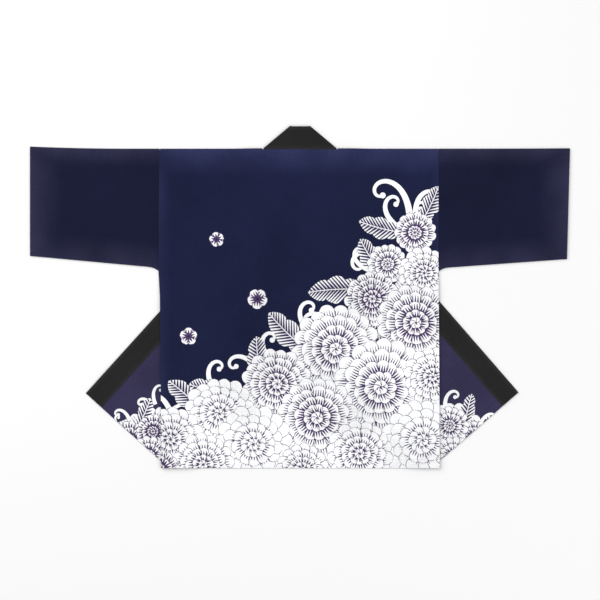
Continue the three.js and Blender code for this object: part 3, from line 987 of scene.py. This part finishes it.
sleeve_lay = {}
# 302f49 is the paler painted sheen along the sleeves' top fold, cuffs and lower seams.
sleeve_cotton = cotton("dyed_cotton_sleeve", "#161932", "#302f49")
for side, row in SLEEVES.items():
    sign = SIDES[side]["sign"]

    def lay_sleeve(p, side=side, row=row, sign=sign):
        out, up = sign * p[:, 0], p[:, 1]
        reach = sleeve_depth(side, out)
        f = np.maximum(0, np.maximum(-up, up - SLEEVE_ARC) / reach)
        turn = math.pi * clamp(up / SLEEVE_ARC)
        top = row["rise"] * clamp((out - 400) / 235) ** 2
        sewn = (SLACK - SEAM) * ease((f - 0.9) / 0.1)
        edge = np.minimum(np.minimum(f, 1 - f) * reach / 26, (out - body_half(side, f * 284)) / 30)
        rise = clamp(edge) * creased(SLEEVE_CREASES[side], out, f * reach, sign * 4)
        hem = 0.3 * ease((out - HALF_SPAN + 24) / 3)
        z = CLOTH / 2 + SLEEVE_RADIUS * (1 + np.cos(turn)) + np.where(up <= 0, rise + hem - sewn, 0)
        y = MID_Y + top * (1 - f) - f * reach + SLEEVE_RADIUS * np.sin(turn)
        return np.stack((p[:, 0], y, z), axis=1)

    outs = [0, 8, 16, 26, 62, 110, 160, 210, 262, 302]
    half = []
    for k, across in enumerate(outs):
        out = mix(float(body_half(side, 284)) + JOIN, HALF_SPAN - row["lean"], across / 302)
        half.append((out, float(sleeve_depth(side, out))))
    arm = [(float(body_half(side, 284 * f)) + JOIN, f) for f in (0, 0.25, 0.5, 0.75)]
    cuff = [(HALF_SPAN - row["lean"] * f, f) for f in (0.75, 0.5, 0.25, 0)]
    upper = [(out, -f * float(sleeve_depth(side, out))) for out, f in arm]
    upper += [(out, -deep) for out, deep in half]
    upper += [(out, -f * float(sleeve_depth(side, out))) for out, f in cuff]
    lower = [(out, SLEEVE_ARC - up) for out, up in upper[::-1]]
    outline = [(sign * out, up) for out, up in upper + lower]
    if side == "left":
        outline.reverse()
    ends = (sign * (body_half(side, 0) + 0.7), sign * (HALF_SPAN - 0.4))
    heights = [SLEEVE_ARC * k / 8 for k in range(9)]
    folds = [dense([(ends[0], up), (ends[1], up)], 14, closed=False) for up in heights]

    # Painted sheen: paler along the top fold, at the cuff and along the lower seam, unevenly.
    def sleeve_painted_sheen(p, side=side, sign=sign):
        out = sign * p[:, 0]
        down = np.maximum(-p[:, 1], p[:, 1] - SLEEVE_ARC)
        fold = 0.8 * (1 - down / 40)
        cuff = 0.8 * (1 - (HALF_SPAN - out) / 75)
        seam = 0.7 * (1 - (sleeve_depth(side, out) - down) / 60)
        return np.maximum(np.maximum(fold, cuff), np.maximum(seam, 0)) * (1 + 0.4 * uneven(out, down, 50, 2))

    sleeve_lay[side] = lay_sleeve
    sleeve = cloth_shell(
        f"sleeve_tube_{side}",
        (dense(outline, 9), folds, filling(outline, folds, 9)),
        lay_sleeve,
        CLOTH,
        [sleeve_cotton],
        painted_sheen_and_tone=sleeve_painted_sheen,
    )
    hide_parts(f"sleeve_{side}")
    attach(sleeve, "root")

# ---- Collar band ----
# One strip of near-black cotton folded double, sewn from hem to hem round the neck, mitred
# where the stand turns down into the fronts and folded with them under the coat.
STAND_HEIGHT = 54  # how far the band stands up past the shoulder line
STAND_TOP = 21  # half the width of its top edge


def lay_band(p):
    """u runs along the sewn edge from the middle of the neck, w from that edge across."""
    w = p[:, 1] / BAND_WIDTH
    far = np.abs(p[:, 0])
    slant = math.atan2(STAND_HEIGHT, NECK - STAND_TOP)
    angle = math.pi * clamp((far - NECK) / ARC)
    reach = FOLD_RADIUS * np.sin(angle)
    x = np.sign(p[:, 0]) * (np.minimum(far / NECK, 1) * mix(NECK, STAND_TOP, w) + reach * math.sin(slant))
    y = MID_Y + mix(SEAM, STAND_HEIGHT, w) + reach * math.cos(slant)
    found = np.stack((x, y, BAND / 2 + FOLD_RADIUS * (1 + np.cos(angle))), axis=1)
    for side, row in SIDES.items():
        seam = row["edge"] + BAND_WIDTH
        sewn = far - NECK - ARC
        down = [0] + [fold_depth(side, seam, s) for s in (0, ARC)] + [row["length"]]
        ends = [-STAND_HEIGHT] + [fold_depth(side, row["edge"], s) for s in (0, ARC)] + [row["length"]]
        free = np.interp(sewn, down, ends)
        inner = mix(STAND_TOP, row["edge"], clamp((free + STAND_HEIGHT) / (row["apex"] + STAND_HEIGHT - 4)))
        leg = turned(side, mix(band_seam(side, sewn), inner, w), mix(sewn, free, w), BAND / 2)
        here = (sewn > 0) & (np.sign(p[:, 0]) == row["sign"])
        found[here] = leg[here]
    return found


band_ends = [row["sign"] * (NECK + ARC + row["length"]) for row in SIDES.values()]
band_outline = [(band_ends[0], 0), (band_ends[1], 0), (band_ends[1], BAND_WIDTH), (band_ends[0], BAND_WIDTH)]
band_folds = []
for side, row in SIDES.items():
    seam = row["edge"] + BAND_WIDTH
    marks = [NECK + ARC * k / 8 for k in range(9)]
    marks += [NECK + ARC + fold_depth(side, seam, ARC * k / 8) for k in range(9)]
    for mark in marks:
        u = row["sign"] * mark
        band_folds.append(dense([(u, 0.3), (u, BAND_WIDTH - 0.3)], 8, closed=False))

band = cloth_shell(
    "collar_strip",
    (dense(band_outline, 8), band_folds, filling(band_outline, band_folds, 8)),
    lay_band,
    BAND,
    # 33312f is the paler painted sheen within 8 mm of both long edges of the band.
    [cotton("black_cotton_band", "#242425", "#33312f", rough=0.8)],
    painted_sheen_and_tone=lambda p: np.maximum(0, 0.7 * (1 - np.minimum(p[:, 1], BAND_WIDTH - p[:, 1]) / 8)),
)
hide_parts("collar_band")
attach(band, "root")

# ---- Stitching ----
# Lockstitch in spun polyester, about 3.5 mm to the stitch: pale thread along the printed
# hems, navy at the cuff hems and on the fronts' bare corners, and black where the collar band
# is topstitched to the coat. Each row has the cloth's form, its face and the line sewn.
SHADES = {"pale": "#d9d6df", "navy": "#20233f", "black": "#1f1f20"}
STITCH_LINES = {
    "pale": [(lay_back, CLOTH / 2, [(-322, HEM - LENGTH), (322, HEM - LENGTH)])],
    "navy": [],
    "black": [(lay_band, BAND / 2, [(-NECK + 6, 3), (NECK - 6, 3)])],
}
for side, row in SIDES.items():
    sign, hem = row["sign"], HEM - row["length"]
    seam = row["edge"] + BAND_WIDTH
    a = math.radians(row["tilt"])
    creased_at = row["fold"] - (hem * math.sin(a) + ARC + 4) / math.cos(a)
    corner = sign * (seam + 58)
    STITCH_LINES["navy"].append((front_lay[side], -CLOTH / 2, [(sign * (seam + 5), hem), (corner, hem)]))
    STITCH_LINES["pale"].append((front_lay[side], -CLOTH / 2, [(corner, hem), (sign * creased_at, hem)]))
    past_fold = NECK + ARC + fold_depth(side, seam, ARC) + 14
    end = NECK + ARC + row["length"] - 4
    STITCH_LINES["black"].append((lay_band, BAND / 2, [(sign * past_fold, 3), (sign * end, 3)]))
    cuff = HALF_SPAN - 22
    reach = float(sleeve_depth(side, cuff)) - 4
    lean = SLEEVES[side]["lean"]
    sewn = [(sign * cuff, -4), (sign * (cuff - lean), -reach)]
    STITCH_LINES["navy"].append((sleeve_lay[side], CLOTH / 2, sewn))

stitching = bpy.data.node_groups.new("running_stitch", "GeometryNodeTree")
face = stitching.interface
face.new_socket("Geometry", in_out="INPUT", socket_type="NodeSocketGeometry")
for socket in ("Pitch", "Length", "Thickness"):
    face.new_socket(socket, in_out="INPUT", socket_type="NodeSocketFloat")
face.new_socket("Thread", in_out="INPUT", socket_type="NodeSocketMaterial")
face.new_socket("Geometry", in_out="OUTPUT", socket_type="NodeSocketGeometry")
given = add_node(stitching, "NodeGroupInput").outputs
line = add_node(stitching, "GeometryNodeMeshToCurve", None, {"Mesh": given["Geometry"]})
spaced = add_node(
    stitching,
    "GeometryNodeResampleCurve",
    {"mode": "LENGTH"},
    {"Curve": line.outputs[0], "Length": given["Pitch"]},
)
tangent = add_node(stitching, "GeometryNodeInputTangent")
aligned = add_node(
    stitching, "FunctionNodeAlignRotationToVector", {"axis": "Z"}, {"Vector": tangent.outputs[0]}
)
uneven_length = add_node(
    stitching, "FunctionNodeRandomValue", {"data_type": "FLOAT"}, {2: 0.88, 3: 1.1, "Seed": 4}
)
drawn = add_node(
    stitching, "ShaderNodeMath", {"operation": "MULTIPLY"}, {0: given["Length"], 1: uneven_length.outputs[1]}
)
size = add_node(
    stitching,
    "ShaderNodeCombineXYZ",
    None,
    {"X": given["Thickness"], "Y": given["Thickness"], "Z": drawn.outputs[0]},
)
bead = add_node(stitching, "GeometryNodeMeshUVSphere", None, {"Segments": 6, "Rings": 4, "Radius": 0.5})
placed = add_node(
    stitching,
    "GeometryNodeInstanceOnPoints",
    None,
    {
        "Points": spaced.outputs[0],
        "Instance": bead.outputs["Mesh"],
        "Rotation": aligned.outputs[0],
        "Scale": size.outputs[0],
    },
)
real = add_node(stitching, "GeometryNodeRealizeInstances", None, {"Geometry": placed.outputs[0]})
threaded = add_node(
    stitching, "GeometryNodeSetMaterial", None, {"Geometry": real.outputs[0], "Material": given["Thread"]}
)
add_node(stitching, "NodeGroupOutput", None, {"Geometry": threaded.outputs[0]})


# Spun polyester thread: fine, slightly fuzzy and a little shinier than the cotton, its
# colour uneven from stitch to stitch.
def thread(shade):
    finish = bpy.data.materials.new(f"spun_polyester_{shade}")
    finish.use_nodes = True
    tree = finish.node_tree
    shader = tree.nodes["Principled BSDF"]
    spot = add_node(tree, "ShaderNodeTexCoord").outputs["Object"]
    patch = add_node(tree, "ShaderNodeTexNoise", None, {"Vector": spot, "Scale": 320.0, "Detail": 2.0})
    tone = add_node(
        tree,
        "ShaderNodeMapRange",
        None,
        {"Value": patch.outputs["Fac"], "From Min": 0.3, "From Max": 0.7, "To Min": 0.8, "To Max": 1.15},
    )
    dye = linear(SHADES[shade])[:3]
    colour = add_node(
        tree, "ShaderNodeVectorMath", {"operation": "SCALE"}, {0: dye, "Scale": tone.outputs[0]}
    )
    tree.links.new(colour.outputs[0], shader.inputs["Base Color"])
    shader.inputs["Roughness"].default_value = 0.6
    shader.inputs["Specular IOR Level"].default_value = 0.2
    return finish


for shade, lines in STITCH_LINES.items():
    spots, ends = [], []
    for lay, height, line in lines:
        line = np.array(dense(line, 4, closed=False))
        offset = height + math.copysign(0.05, height)
        first = len(spots)
        spots += (faced(lay, line, offset) * MM).tolist()
        ends += [(first + k, first + k + 1) for k in range(len(line) - 1)]
    mesh = bpy.data.meshes.new("seam_lines")
    mesh.from_pydata(spots, ends, [])
    seams = bpy.data.objects.new("seam_lines", mesh)
    bpy.context.collection.objects.link(seams)
    sewing = seams.modifiers.new("sewing", "NODES")
    sewing.node_group = stitching
    values = {"Pitch": 0.0035, "Length": 0.0026, "Thickness": 0.00045, "Thread": thread(shade)}
    for item in stitching.interface.items_tree:
        if item.in_out == "INPUT" and item.name in values:
            sewing[item.identifier] = values[item.name]
    shown = seams.evaluated_get(bpy.context.evaluated_depsgraph_get())
    stitches = bpy.data.objects.new(f"stitches_{shade}", bpy.data.meshes.new_from_object(shown))
    bpy.context.collection.objects.link(stitches)
    bpy.data.objects.remove(seams)
    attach(stitches, "root")
